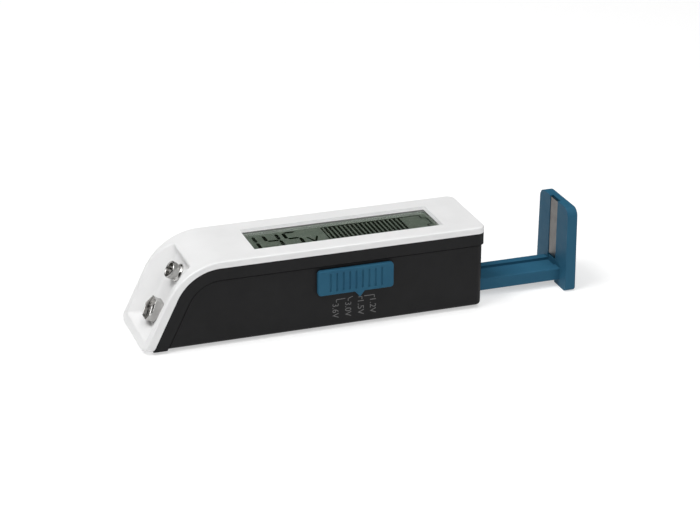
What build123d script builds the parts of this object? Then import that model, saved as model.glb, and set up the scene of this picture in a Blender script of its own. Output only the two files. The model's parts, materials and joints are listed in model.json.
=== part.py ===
"""Pocket battery tester: a wedge-nosed box with a display on top, a sliding jaw that clamps round
cells against its end, and a pair of snap terminals on its sloping nose.

Frame: millimetres, +X along the body towards the jaw, +Y to the back, +Z up.  The selector knob is
on the front side, which faces -Y.  The origin of the saved pieces is on the table, below
the middle of the casing; in the drawing below it is on the casing's underside, and save()
lifts every piece by the height of the feet.
"""

from build123d import *
import math
import os

os.makedirs("parts", exist_ok=True)

# ---------------------------------------------------------------- driving dimensions: casing
LENGTH = 103.2
WIDTH = 27.0
HEIGHT = 25.0
COVER = 2.0  # thickness of the cover plate on top
NOSE_COVER = 2.5  # its thickness down the nose
NOSE_ANGLE = 63.7  # slope of the nose above the horizontal, degrees
NOSE_RADIUS = 18.5  # bend between the top and the nose, outside
MOUTH_RADIUS = 14.2  # the same bend where the cover meets the housing
RIM = 3.6  # depth of the raised rim round the housing's mouth
RIM_STEP = 0.55  # how far the rim stands out from the housing's side
RIM_GROOVE = (0.4, 0.5)  # width and depth of the shadow groove below the rim
CORNER = 2.4  # plan radius of the casing's corners
FOOT_CORNER = 1.3
COVER_EDGE = 0.5
WALL = 1.6
END_WALL = 1.8
FLOOR = 1.1
BOTTOM_EDGE = 1.0  # rounding of the housing's lower edges
FEET = 0.9  # height of the two feet and of the raised panel that the casing stands on
FOOT_SPOTS = [(-43.2, -8.7), (-43.2, 8.7)]
PANEL = (64.0, 15.0)
PANEL_X = 10.0

# ---------------------------------------------------------------- display
DISPLAY_X = 11.65
WINDOW = (57.5, 15.5)
WINDOW_DEPTH = 0.9  # from the cover's top down to the window pane
WINDOW_DRAFT = 25.0
PANE = (60.0, 17.8, 1.0)
GLASS = (60.0, 19.2, 0.8)
CONTACT_LEDGE = 3.2  # strip of the front glass that overhangs the back glass
POLARISER = 0.2
BOARD_X = (-27.8, 44.2)
BOARD_WIDTH = 20.4
BOARD_Z = 17.8  # underside of the circuit board
BOARD = 1.2
CAPACITORS = [(-14.0, -3.0), (-14.0, 0.5), (-14.0, 4.0), (1.0, 6.0), (4.5, 6.0), (18.0, 6.0), (21.0, 2.0)]
RESISTORS = (1.0, 4.2, 7.4)

# ---------------------------------------------------------------- terminals on the nose
POCKET_ANGLE = 59.0
POCKET_MIDDLE = (-40.85, 12.0)  # X and Z of the point between the terminals on the pocket floor
POCKET_SPAN = (-10.3, 9.8)  # of the floor, down and up the nose from that point
POCKET_WIDTH = 14.6  # of the floor
POCKET_DRAFT = 45.0
POCKET_BLEND = 1.3  # rounding between the pocket's floor and walls
MOUTH_ROUND = 0.7  # rounding of the pocket's outer edges
TUB_FLOOR = 1.1
SNAP_PITCH = 12.7
CROWN_HEIGHT = 3.0
CROWN_RADIUS = 3.9
STUD_HEIGHT = 3.1
STUD_RADIUS = 2.55
RIVET = 1.15  # radius of the hollow rivet that holds each terminal

# ---------------------------------------------------------------- sliding jaw
JAW_OPENING = 27.6  # gap between the casing's end and the jaw at rest
JAW = 3.4  # thickness
JAW_WIDTH = (21.2, 19.8)  # at the bottom and at the top
JAW_Z = (-0.85, 25.45)
JAW_CORNERS = (1.2, 2.8)  # radii at the bottom and at the top
ARM_LENGTH = 75.0
ARM_WIDTH = 12.0
ARM_Z = (1.2, 5.1)
GROOVE = (6.0, 0.8)  # width and depth of the groove along the arm's top
STRIP = 0.3  # thickness of the sheet-metal contacts
STRIP_Z = 6.2  # where the jaw's contact strip comes into view
STRIP_RECESS = 0.15  # of the strip's visible part behind the jaw's face
STRIP_HIDDEN = 0.55  # of the rest, behind the wall below the slot
STRIP_JOG = (6.25, 7.0)  # where the strip bends from one to the other
STRIP_PLAY = 0.05
FACE_DISH = 0.2  # depth of the shallow channel in the face below the slot
STRIP_WIDTH = 5.0
SLOT = (5.3, 1.0)  # width and depth of the slot in the jaw's face, open at the top
GUIDE_X = (-24.2, 44.4)
GUIDE_Z = (5.3, 6.5)
RAIL = 0.4  # thickness of the contact rail on the guide
RAIL_PEGS = [(-22.6, -3.2), (-22.6, 3.2), (43.3, 0)]

# ---------------------------------------------------------------- selector
KNOB = (23.0, 7.7)
KNOB_X = 11.2
KNOB_Z = 14.35
KNOB_PROUD = 1.3  # beyond the casing's rim
POINTER_X = 12.4
POINTER = (2.9, 1.8)  # width at its root, and drop
RIDGES = 9
RIDGE_PITCH = 1.95
RIDGE_CUT = 0.29  # radius of the grooves between the ridges

SWITCH_Y = (-9.3, -3.8)

# ---------------------------------------------------------------- own supply
CELL = (5.8, 5.4)  # radius and thickness
CELL_X = -34.0
CELL_Z = 7.9
CELL_BAY = (-40.0, -28.0, 6.7)  # both ends and half the width
DOOR = (-41.0, -24.4, 7.3)
DOOR_PLATE = 0.9
LEAD = 0.5  # radius of the wires

# ---------------------------------------------------------------- fasteners
CASE_SCREWS = [(47.2, -9.0), (47.2, 9.0), (-30.6, -9.2), (-30.6, 9.2)]
GUIDE_SCREWS = [(-12.0, -9.0), (-12.0, 9.0), (36.0, -9.0), (36.0, 9.0)]
BOARD_SCREWS = [(-24.0, -8.0), (-24.0, 8.0)]
DOOR_SCREW = (-26.2, 0.0)

# ---------------------------------------------------------------- worked out
X_END = LENGTH / 2
X_TIP = -LENGTH / 2
SIDE = WIDTH / 2
BODY_SIDE = SIDE - RIM_STEP
BODY_END = X_END - RIM_STEP
INNER_SIDE = BODY_SIDE - WALL
INNER_END = X_END - END_WALL
JOIN_Z = HEIGHT - COVER
PANE_BOTTOM = HEIGHT - WINDOW_DEPTH - PANE[2]
LCD_TOP = PANE_BOTTOM - 0.2
GLASS_TOP = LCD_TOP - POLARISER
BACK_GLASS_TOP = GLASS_TOP - GLASS[2]
REFLECTOR_TOP = BACK_GLASS_TOP - GLASS[2]
HOLDER_SEAT = REFLECTOR_TOP - POLARISER
BACK_WIDTH = GLASS[1] - CONTACT_LEDGE
BOARD_TOP = BOARD_Z + BOARD
JAW_FACE = X_END + JAW_OPENING
ARM_END = JAW_FACE - ARM_LENGTH
nose = math.radians(NOSE_ANGLE)

# Plane of the terminal pocket's floor: x runs up the nose, z points out of it.
pocket_tilt = math.radians(POCKET_ANGLE)
pocket_plane = Plane(
    origin=(POCKET_MIDDLE[0], 0, POCKET_MIDDLE[1]),
    x_dir=(math.cos(pocket_tilt), 0, math.sin(pocket_tilt)),
    z_dir=(-math.sin(pocket_tilt), 0, math.cos(pocket_tilt)),
)


UPRIGHT = (Align.CENTER, Align.CENTER, Align.MIN)
HANGING = (Align.CENTER, Align.CENTER, Align.MAX)


def bend_centre(top_depth, nose_depth, radius):
    """Centre of the bend tangent to the top and the nose when these are sunk by their depths."""
    z = HEIGHT - top_depth - radius
    x = X_TIP + nose_depth / math.sin(nose) + (z + radius / math.cos(nose)) / math.tan(nose)
    return x, z


def side_view(top_depth, nose_depth, radius, end_x):
    """Draws the closed outline below the casing's top and nose, sunk by their depths."""
    x, z = bend_centre(top_depth, nose_depth, radius)
    start = (x, z + radius)
    middle = (x - radius * math.sin(nose / 2), z + radius * math.cos(nose / 2))
    stop = (x - radius * math.sin(nose), z + radius * math.cos(nose))
    foot = (stop[0] - stop[1] / math.tan(nose), 0)
    Line((end_x, z + radius), start)
    ThreePointArc(start, middle, stop)
    Line(stop, foot)
    Line(foot, (end_x, 0))
    Line((end_x, 0), (end_x, z + radius))


def on_outside(edge):
    """Whether the edge's middle lies on the casing's top, bend or nose."""
    point = edge @ 0.5
    x, z = bend_centre(0, 0, NOSE_RADIUS)
    turned = math.atan2(x - point.X, point.Z - z)
    if turned <= 0:
        return abs(HEIGHT - point.Z) < 0.05
    if turned <= nose:
        return abs(NOSE_RADIUS - math.hypot(point.X - x, point.Z - z)) < 0.05
    return abs((point.X - X_TIP) * math.sin(nose) - point.Z * math.cos(nose)) < 0.05


def on_crease(edge):
    """Whether the edge is a crease between the pocket's floor and walls or between two walls."""
    start = pocket_plane.to_local_coords(edge @ 0)
    stop = pocket_plane.to_local_coords(edge @ 1)
    inside = abs(start.Y) < 11 and abs(stop.Y) < 11 and abs(min(start.Z, stop.Z)) < 0.01
    return inside and 3 < edge.length < 21 and edge.geom_type != GeomType.CIRCLE


def on_mouth(edge):
    """Whether the edge is part of the pocket's outline on the nose and the bend."""
    middle = edge.center()
    return on_outside(edge) and X_TIP + 0.8 < middle.X < -36 and abs(middle.Y) < 11.6


def block(x_range, y_range, z_range, mode=Mode.ADD):
    """Box between the given pairs of coordinates."""
    middle = [(pair[0] + pair[1]) / 2 for pair in (x_range, y_range, z_range)]
    size = [pair[1] - pair[0] for pair in (x_range, y_range, z_range)]
    with Locations(tuple(middle)):
        Box(*size, mode=mode)


def pillars(points, radius, z_range, mode=Mode.ADD):
    """Upright cylinders of one radius at the given points."""
    for x, y in points:
        with Locations((x, y, z_range[0])):
            Cylinder(radius, z_range[1] - z_range[0], align=UPRIGHT, mode=mode)


def save(part, name):
    lifted = part.moved(Location((0, 0, FEET)))
    lifted.label = name
    export_step(lifted, f"parts/{name}.step")


# ================================================================ casing
with BuildPart() as top_cover:
    with BuildSketch(Plane.XZ):
        with BuildLine():
            side_view(0, 0, NOSE_RADIUS, X_END)
        make_face()
        with BuildLine():
            side_view(COVER, NOSE_COVER, MOUTH_RADIUS, X_END)
        make_face(mode=Mode.SUBTRACT)
    extrude(amount=SIDE, both=True)
    end_corners = top_cover.edges().filter_by(Axis.Z).filter_by(lambda e: e.center().X > X_END - 1)
    fillet(end_corners, CORNER)
    foot_corners = top_cover.edges().filter_by(Axis.X).filter_by(lambda e: e.center().Z < 0.1)
    fillet(foot_corners, FOOT_CORNER)
    outer_edges = top_cover.edges().filter_by(on_outside).filter_by(
        lambda e: abs(e.tangent_at(0.5).Y) < 0.9 or e.center().X > X_END - CORNER
    )
    fillet(outer_edges, COVER_EDGE)
    # Tub under the plate that the terminal pocket is sunk into, with a foot down to the underside.
    with BuildSketch(pocket_plane.offset(-TUB_FLOOR)):
        with Locations((-0.6, 0)):
            Rectangle(27, 2 * INNER_SIDE - 0.3)
    extrude(amount=8)
    block((X_TIP, -46.2), (-INNER_SIDE + 0.15, INNER_SIDE - 0.15), (0, 3))
    with BuildSketch(Plane.XZ):
        with BuildLine():
            side_view(0, 0, NOSE_RADIUS, X_END)
        make_face()
    extrude(amount=SIDE, both=True, mode=Mode.INTERSECT)
    # Pocket with drafted walls.
    with BuildSketch(pocket_plane):
        with Locations(((POCKET_SPAN[0] + POCKET_SPAN[1]) / 2, 0)):
            Rectangle(POCKET_SPAN[1] - POCKET_SPAN[0], POCKET_WIDTH)
    extrude(amount=8, taper=-POCKET_DRAFT, mode=Mode.SUBTRACT)
    fillet(top_cover.edges().filter_by(on_crease), POCKET_BLEND)
    fillet(top_cover.edges().filter_by(on_mouth), MOUTH_ROUND)
    with BuildSketch(pocket_plane):
        with Locations((-SNAP_PITCH / 2, 0), (SNAP_PITCH / 2, 0)):
            Circle(RIVET + 0.1)
    extrude(amount=-TUB_FLOOR, mode=Mode.SUBTRACT)
    # Window with sloping sides and a seat for the pane on its underside.
    with BuildSketch(Plane.XY.offset(HEIGHT)):
        with Locations((DISPLAY_X, 0)):
            Rectangle(*WINDOW)
    extrude(amount=-WINDOW_DEPTH - 0.05, taper=WINDOW_DRAFT, mode=Mode.SUBTRACT)
    with Locations((DISPLAY_X, 0, HEIGHT - WINDOW_DEPTH)):
        Box(PANE[0] + 0.2, PANE[1] + 0.2, COVER, align=HANGING, mode=Mode.SUBTRACT)
    for side in (-1, 1):
        y_pair = sorted((side * (INNER_SIDE - 0.1), side * (INNER_SIDE - 0.85)))
        block((-27, 44), y_pair, (JOIN_Z - 1.4, JOIN_Z + 0.5))
    pillars(CASE_SCREWS, 2.2, (17.2, JOIN_Z + 0.5))
    pillars(CASE_SCREWS, 0.9, (17.2, JOIN_Z + 0.2), mode=Mode.SUBTRACT)

# Ring to cut the shadow groove below the housing's rim.
with BuildPart() as housing_core:
    with BuildSketch(Plane.XZ):
        with BuildLine():
            side_view(0, -5, NOSE_RADIUS, BODY_END - RIM_GROOVE[1])
        make_face()
    extrude(amount=BODY_SIDE - RIM_GROOVE[1], both=True)
    end_corners = housing_core.edges().filter_by(Axis.Z).filter_by(lambda e: e.center().X > 0)
    fillet(end_corners, CORNER - RIM_STEP - RIM_GROOVE[1])

with BuildPart() as groove_ring:
    lower = RIM + RIM_GROOVE[0]
    with BuildSketch(Plane.XZ):
        with BuildLine():
            side_view(COVER + RIM, NOSE_COVER + RIM, MOUTH_RADIUS - RIM, X_END + 1)
        make_face()
        with BuildLine():
            side_view(COVER + lower, NOSE_COVER + lower, MOUTH_RADIUS - lower, X_END + 1)
        make_face(mode=Mode.SUBTRACT)
    extrude(amount=SIDE + 1, both=True)
    add(housing_core.part, mode=Mode.SUBTRACT)

with BuildPart() as bottom_housing:
    # Body, set in from the rim.
    with BuildSketch(Plane.XZ):
        with BuildLine():
            side_view(COVER + 0.3, NOSE_COVER + 0.3, MOUTH_RADIUS - 0.3, BODY_END)
        make_face()
    extrude(amount=BODY_SIDE, both=True)
    end_corners = bottom_housing.edges().filter_by(Axis.Z).filter_by(lambda e: e.center().X > 0)
    fillet(end_corners, CORNER - RIM_STEP)
    underside = bottom_housing.faces().sort_by(Axis.Z)[0]
    lower_edges = underside.edges().filter_by(lambda e: e.center().X > X_TIP + 5)
    fillet(lower_edges, BOTTOM_EDGE)
    pillars(FOOT_SPOTS, 1.6, (-FEET, FLOOR))
    with BuildSketch(Plane.XY.offset(-FEET)):
        with Locations((PANEL_X, 0)):
            RectangleRounded(*PANEL, 2)
    extrude(amount=FEET + 0.5)
    # Raised rim along the mouth and down the nose.
    with BuildSketch(Plane.XZ):
        with BuildLine():
            side_view(COVER, NOSE_COVER, MOUTH_RADIUS, X_END)
        make_face()
        with BuildLine():
            side_view(COVER + RIM, NOSE_COVER + RIM, MOUTH_RADIUS - RIM, X_END)
        make_face(mode=Mode.SUBTRACT)
    extrude(amount=SIDE, both=True)
    rim_corners = bottom_housing.edges().filter_by(Axis.Z).filter_by(
        lambda e: e.center().X > X_END - 0.1 and abs(e.length - RIM) < 0.1
    )
    fillet(rim_corners, CORNER)
    add(groove_ring.part, mode=Mode.SUBTRACT)
    # Inside.
    with BuildSketch(Plane.XZ):
        with BuildLine():
            side_view(COVER - 1, NOSE_COVER - 1, MOUTH_RADIUS + 1, INNER_END)
        make_face()
        with Locations((0, FLOOR / 2)):
            Rectangle(2 * LENGTH, FLOOR, mode=Mode.SUBTRACT)
    extrude(amount=INNER_SIDE, both=True, mode=Mode.SUBTRACT)
    block((X_TIP - 1, -45.4), (-INNER_SIDE, INNER_SIDE), (-1, 4), mode=Mode.SUBTRACT)
    # Posts for the screws, and ledges for the board's free end.
    pillars(CASE_SCREWS, 2.3, (FLOOR, 17.0))
    pillars(GUIDE_SCREWS, 2.0, (FLOOR, GUIDE_Z[0] - 0.02))
    pillars(BOARD_SCREWS, 2.1, (FLOOR, BOARD_Z))
    for side in (-1, 1):
        y_pair = sorted((side * (INNER_SIDE + 0.3), side * 9.4))
        block((41.0, 43.4), y_pair, (FLOOR, BOARD_Z))
    # Bay for the cells.
    block((-42.0, -24.4), (-8.3, 8.3), (FLOOR - 0.5, 1.9))
    block((-41.0, -40.0), (-7.6, 7.6), (1.9, 4.4))
    block((-28.0, -27.1), (-7.6, 7.6), (1.9, 10.0))
    for side in (-1, 1):
        y_pair = sorted((side * CELL_BAY[2], side * 7.6))
        block((-41.0, -27.1), y_pair, (1.9, 10.0))
    pillars([DOOR_SCREW], 1.7, (1.9, 4.4))
    block(CELL_BAY[:2], (-CELL_BAY[2], CELL_BAY[2]), (-1, 3), mode=Mode.SUBTRACT)
    block(DOOR[:2], (-DOOR[2], DOOR[2]), (-1, DOOR_PLATE), mode=Mode.SUBTRACT)
    pillars([DOOR_SCREW], 0.75, (0, 3.9), mode=Mode.SUBTRACT)
    # Holes for the screws.
    pillars(CASE_SCREWS, 2.0, (-1, 11.0), mode=Mode.SUBTRACT)
    pillars(CASE_SCREWS, 1.2, (0, 17.1), mode=Mode.SUBTRACT)
    pillars(GUIDE_SCREWS, 0.85, (1.9, GUIDE_Z[0]), mode=Mode.SUBTRACT)
    pillars(BOARD_SCREWS, 0.85, (11.0, BOARD_Z), mode=Mode.SUBTRACT)
    # Slot for the arm, slot for the selector's stem, seat and slit for the end contact.
    arm_slot = (-ARM_WIDTH / 2 - 0.25, ARM_WIDTH / 2 + 0.25)
    through_end = (INNER_END - 1, X_END + 1)
    block(through_end, arm_slot, (FLOOR, ARM_Z[1] + 0.3), mode=Mode.SUBTRACT)
    stem_slot = (KNOB_X - 7.4, KNOB_X + 5.4)
    through_front = (-SIDE - 1, -INNER_SIDE + 1)
    block(stem_slot, through_front, (KNOB_Z - 1.8, KNOB_Z + 1.8), mode=Mode.SUBTRACT)
    block((BODY_END - 0.5, X_END + 1), (-3.6, 3.6), (6.0, 17.1), mode=Mode.SUBTRACT)
    block(through_end, (-2.6, 2.6), (16.3, 17.1), mode=Mode.SUBTRACT)

with BuildPart() as battery_door:
    gap = 0.12
    block((DOOR[0] + gap, DOOR[1] - gap), (-DOOR[2] + gap, DOOR[2] - gap), (0, DOOR_PLATE - 0.02))
    block((-39.8, -28.2), (-6.5, 6.5), (0, 1.6))
    block((-38.8, -29.2), (-5.5, 5.5), (1.0, 2), mode=Mode.SUBTRACT)
    with Locations((DOOR_SCREW[0], DOOR_SCREW[1], 0)):
        Cone(1.6, 0.85, 0.7, align=UPRIGHT, mode=Mode.SUBTRACT)
        Cylinder(0.85, 3, mode=Mode.SUBTRACT)
    # Finger grooves.
    for step in range(4):
        block((-39.0 + 1.4 * step, -38.5 + 1.4 * step), (-4.5, 4.5), (-1, 0.3), mode=Mode.SUBTRACT)

# ================================================================ display
with BuildPart() as display_window:
    with Locations((DISPLAY_X, 0, PANE_BOTTOM)):
        Box(*PANE, align=UPRIGHT)

with BuildPart() as front_polariser:
    with Locations((DISPLAY_X, 0, GLASS_TOP)):
        Box(GLASS[0] - 1.6, GLASS[1] - 2.4, POLARISER, align=UPRIGHT)

with BuildPart() as lcd_front_glass:
    with Locations((DISPLAY_X, 0, GLASS_TOP)):
        Box(*GLASS, align=HANGING)

with BuildPart() as lcd_back_glass:
    with Locations((DISPLAY_X, CONTACT_LEDGE / 2, BACK_GLASS_TOP)):
        Box(GLASS[0], BACK_WIDTH, GLASS[2], align=HANGING)

with BuildPart() as lcd_reflector:
    with Locations((DISPLAY_X, CONTACT_LEDGE / 2, REFLECTOR_TOP)):
        Box(GLASS[0] - 1, BACK_WIDTH - 1, POLARISER, align=HANGING)

zebra_y = -GLASS[1] / 2 + CONTACT_LEDGE / 2
with BuildPart() as lcd_holder:
    with Locations((DISPLAY_X, 0, BOARD_TOP)):
        Box(GLASS[0] + 2.4, 20.6, GLASS_TOP - BOARD_TOP, align=UPRIGHT)
    with Locations((DISPLAY_X, 0, HOLDER_SEAT)):
        Box(GLASS[0] + 0.2, GLASS[1] + 0.2, 5, align=UPRIGHT, mode=Mode.SUBTRACT)
    with Locations((DISPLAY_X, 1.8, BOARD_TOP)):
        Box(GLASS[0] - 3, BACK_WIDTH - 4, 1.8, mode=Mode.SUBTRACT)
    with Locations((DISPLAY_X, zebra_y, BOARD_TOP)):
        Box(54.3, 2.1, 8, mode=Mode.SUBTRACT)

with BuildPart() as zebra_strip:
    with Locations((DISPLAY_X, zebra_y, BOARD_TOP)):
        Box(54, 1.8, BACK_GLASS_TOP - BOARD_TOP, align=UPRIGHT)

with BuildPart() as circuit_board:
    block(BOARD_X, (-BOARD_WIDTH / 2, BOARD_WIDTH / 2), (BOARD_Z, BOARD_TOP))
    pillars(BOARD_SCREWS, 1.0, (BOARD_Z, BOARD_TOP), mode=Mode.SUBTRACT)
    corners = circuit_board.edges().filter_by(Axis.Z).filter_by(lambda e: abs(e.center().Y) > 10)
    fillet(corners, 1)

with BuildPart() as controller_chip:
    block((-10.5, -3.5), (0.5, 7.5), (BOARD_Z - 1.7, BOARD_Z - 0.3))
    for step in range(8):
        pin_x = -9.8 + 0.8 * step
        block((pin_x - 0.15, pin_x + 0.15), (-0.9, 8.9), (BOARD_Z - 1.0, BOARD_Z - 0.8))
        block((pin_x - 0.15, pin_x + 0.15), (-0.9, -0.6), (BOARD_Z - 1.0, BOARD_Z))
        block((pin_x - 0.15, pin_x + 0.15), (8.6, 8.9), (BOARD_Z - 1.0, BOARD_Z))

with BuildPart() as load_resistors:
    for y in RESISTORS:
        with Locations((30.0, y, BOARD_Z - 1.6)):
            Cylinder(1.2, 6.4, rotation=(0, 90, 0))
            Cylinder(0.3, 10.2, rotation=(0, 90, 0))
        for x in (24.9, 35.1):
            with Locations((x, y, BOARD_Z)):
                Cylinder(0.25, 1.7, align=HANGING)

with BuildPart() as chip_capacitors:
    for x, y in CAPACITORS:
        block((x - 1.0, x + 1.0), (y - 0.6, y + 0.6), (BOARD_Z - 0.8, BOARD_Z))

# ================================================================ selector
with BuildPart() as switch_case:
    block((KNOB_X - 10, KNOB_X + 9), SWITCH_Y, (BOARD_Z - 5.6, BOARD_Z))
    opening = (SWITCH_Y[0] - 1, SWITCH_Y[0] + 2.2)
    block((KNOB_X - 5.9, KNOB_X + 3.9), opening, (KNOB_Z - 1.15, KNOB_Z + 1.15), mode=Mode.SUBTRACT)
    hollow = (SWITCH_Y[0] + 1.0, SWITCH_Y[0] + 2.2)
    block((KNOB_X - 9, KNOB_X + 8), hollow, (BOARD_Z - 5.3, BOARD_Z - 0.8), mode=Mode.SUBTRACT)

with BuildPart() as switch_lever:
    tongue = (SWITCH_Y[0] - 1.6, SWITCH_Y[0] + 1.2)
    block((KNOB_X - 1.5, KNOB_X + 1.5), tongue, (KNOB_Z - 1.0, KNOB_Z + 1.0))
    shoe = (SWITCH_Y[0] + 1.15, SWITCH_Y[0] + 2.0)
    block((KNOB_X - 3.2, KNOB_X + 3.2), shoe, (KNOB_Z - 1.6, KNOB_Z + 1.6))

with BuildPart() as selector_knob:
    with BuildSketch(Plane.XZ.offset(BODY_SIDE + 0.1)):
        with Locations((KNOB_X, KNOB_Z)):
            RectangleRounded(*KNOB, 1.0)
        low = KNOB_Z - KNOB[1] / 2
        with BuildLine():
            Polyline(
                (POINTER_X - POINTER[0] / 2, low + 0.3),
                (POINTER_X - POINTER[0] / 2, low),
                (POINTER_X, low - POINTER[1]),
                (POINTER_X + POINTER[0] / 2, low),
                (POINTER_X + POINTER[0] / 2, low + 0.3),
                close=True,
            )
        make_face()
    extrude(amount=KNOB_PROUD)
    front_edges = selector_knob.faces().sort_by(Axis.Y)[0].outer_wire().edges()
    fillet(front_edges, 0.35)
    for step in range(RIDGES):
        groove_x = KNOB_X + RIDGE_PITCH * (step - (RIDGES - 1) / 2)
        with Locations((groove_x, -BODY_SIDE - 0.1 - KNOB_PROUD, KNOB_Z)):
            Cylinder(RIDGE_CUT, KNOB[1] - 2.2, mode=Mode.SUBTRACT)
    # Stem through the wall, with a socket for the switch's tongue.
    block((KNOB_X - 3, KNOB_X + 3), (-BODY_SIDE - 0.4, SWITCH_Y[0] - 0.3), (KNOB_Z - 1.5, KNOB_Z + 1.5))
    socket = (SWITCH_Y[0] - 1.7, SWITCH_Y[0])
    block((KNOB_X - 1.55, KNOB_X + 1.55), socket, (KNOB_Z - 1.05, KNOB_Z + 1.05), mode=Mode.SUBTRACT)

# ================================================================ sliding jaw
with BuildPart() as slide_arm:
    block((ARM_END, JAW_FACE + 1), (-ARM_WIDTH / 2, ARM_WIDTH / 2), ARM_Z)
    fillet(slide_arm.edges().filter_by(Axis.X), 0.5)
    with BuildSketch(Plane.YZ.offset(JAW_FACE)) as jaw_outline:
        with BuildLine():
            Polyline(
                (-JAW_WIDTH[0] / 2, JAW_Z[0]),
                (JAW_WIDTH[0] / 2, JAW_Z[0]),
                (JAW_WIDTH[1] / 2, JAW_Z[1]),
                (-JAW_WIDTH[1] / 2, JAW_Z[1]),
                close=True,
            )
        make_face()
        fillet(jaw_outline.vertices().group_by(Axis.Y)[-1], JAW_CORNERS[1])
        fillet(jaw_outline.vertices().group_by(Axis.Y)[0], JAW_CORNERS[0])
    extrude(amount=JAW)
    jaw_rims = slide_arm.faces().sort_by(Axis.X)[-1].outer_wire().edges()
    fillet(jaw_rims, 0.6)
    # Groove along the arm's top, slot down the jaw's face, and the hidden way of the contact strip.
    groove = (-GROOVE[0] / 2, GROOVE[0] / 2)
    groove_z = ARM_Z[1] - GROOVE[1]
    block((ARM_END + 6, JAW_FACE), groove, (groove_z, ARM_Z[1] + 1), mode=Mode.SUBTRACT)
    slot = (-SLOT[0] / 2, SLOT[0] / 2)
    block((JAW_FACE - 1, JAW_FACE + SLOT[1]), slot, (STRIP_Z, HEIGHT + 2), mode=Mode.SUBTRACT)
    block((JAW_FACE - 1, JAW_FACE + FACE_DISH), slot, (groove_z, STRIP_Z + 1), mode=Mode.SUBTRACT)
    strip_x = (JAW_FACE + STRIP_HIDDEN - STRIP_PLAY, JAW_FACE + STRIP_HIDDEN + STRIP + STRIP_PLAY)
    way = (-STRIP_WIDTH / 2 - STRIP_PLAY, STRIP_WIDTH / 2 + STRIP_PLAY)
    block(strip_x, way, (JAW_Z[0] - 1, STRIP_Z + 0.5), mode=Mode.SUBTRACT)
    block((ARM_END - 1, strip_x[1]), way, (JAW_Z[0] - 1, 1.85), mode=Mode.SUBTRACT)
    # Stop cheeks on both sides of the wiper.
    for side in (-1, 1):
        y_pair = sorted((side * 1.45, side * 2.05))
        block((ARM_END, ARM_END + 3.0), y_pair, (ARM_Z[1] - 0.5, GUIDE_Z[1] - 0.4))

with BuildPart() as jaw_contact:
    low = ARM_Z[0] + 0.25
    front = JAW_FACE + STRIP_RECESS
    back = JAW_FACE + STRIP_HIDDEN
    wiper_top = GUIDE_Z[1] - 0.05
    strip_y = (-STRIP_WIDTH / 2, STRIP_WIDTH / 2)
    with BuildSketch(Plane.XZ):
        with BuildLine():
            Polyline(
                (front, JAW_Z[1] - 0.3),
                (front, STRIP_JOG[1]),
                (back, STRIP_JOG[0]),
                (back, low),
                (back + STRIP, low),
                (back + STRIP, STRIP_JOG[0]),
                (front + STRIP, STRIP_JOG[1]),
                (front + STRIP, JAW_Z[1] - 0.3),
                close=True,
            )
        make_face()
    extrude(amount=STRIP_WIDTH / 2, both=True)
    block((ARM_END - 0.1 - STRIP, back + STRIP), strip_y, (low, low + STRIP))
    block((ARM_END - 0.1 - STRIP, ARM_END - 0.1), (-1.1, 1.1), (low, ARM_Z[1] + 0.7))
    with BuildSketch(Plane.XZ):
        with BuildLine():
            Polyline(
                (ARM_END - 0.1 - STRIP, ARM_Z[1] + 0.6),
                (ARM_END + 1.4, wiper_top),
                (ARM_END + 1.9, wiper_top),
                (ARM_END + 2.8, wiper_top - 0.5),
                (ARM_END + 2.8, wiper_top - 0.5 - STRIP),
                (ARM_END + 1.7, wiper_top - STRIP),
                (ARM_END - 0.1, ARM_Z[1] + 0.4),
                close=True,
            )
        make_face()
    extrude(amount=1.1, both=True)

with BuildPart() as arm_guide:
    block(GUIDE_X, (-10.8, 10.8), GUIDE_Z)
    for side in (-1, 1):
        y_pair = sorted((side * (ARM_WIDTH / 2 + 0.15), side * (ARM_WIDTH / 2 + 1.0)))
        block(GUIDE_X, y_pair, (FLOOR + 0.05, GUIDE_Z[0]))
    block((GUIDE_X[0] - 1, 42.2), (-2.3, 2.3), (GUIDE_Z[0] - 1, GUIDE_Z[1] + 1), mode=Mode.SUBTRACT)
    for side in (-1, 1):
        y_pair = sorted((side * 5.6, side * 12))
        block((GUIDE_X[0] - 1, -21.6), y_pair, (0, 8), mode=Mode.SUBTRACT)
        y_pair = sorted((side * 9.2, side * 12))
        block((40.8, GUIDE_X[1] + 1), y_pair, (0, 8), mode=Mode.SUBTRACT)
    pillars(GUIDE_SCREWS, 1.0, GUIDE_Z, mode=Mode.SUBTRACT)
    pillars(RAIL_PEGS, 0.55, (GUIDE_Z[1], GUIDE_Z[1] + 0.9))

with BuildPart() as contact_rail:
    rail_z = (GUIDE_Z[1], GUIDE_Z[1] + RAIL)
    block((GUIDE_X[0] + 0.3, GUIDE_X[1] - 0.3), (-4.2, 4.2), rail_z)
    pillars(RAIL_PEGS, 0.65, (GUIDE_Z[1] - 1, GUIDE_Z[1] + 1), mode=Mode.SUBTRACT)
    # Ear that the lead is soldered to.
    block((10.0, 13.0), (4.2, 5.6), rail_z)
    block((10.0, 13.0), (5.6 - RAIL, 5.6), (GUIDE_Z[1], GUIDE_Z[1] + 2.4))

with BuildPart() as end_contact:
    block((BODY_END - 0.45, BODY_END - 0.05), (-3.5, 3.5), (6.1, 16.9))
    block((45.8, BODY_END - 0.05), (-2.4, 2.4), (16.5, 16.9))
    fillet(end_contact.edges().filter_by(Axis.X).filter_by(lambda e: e.center().Z < 7), 0.9)

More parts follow.
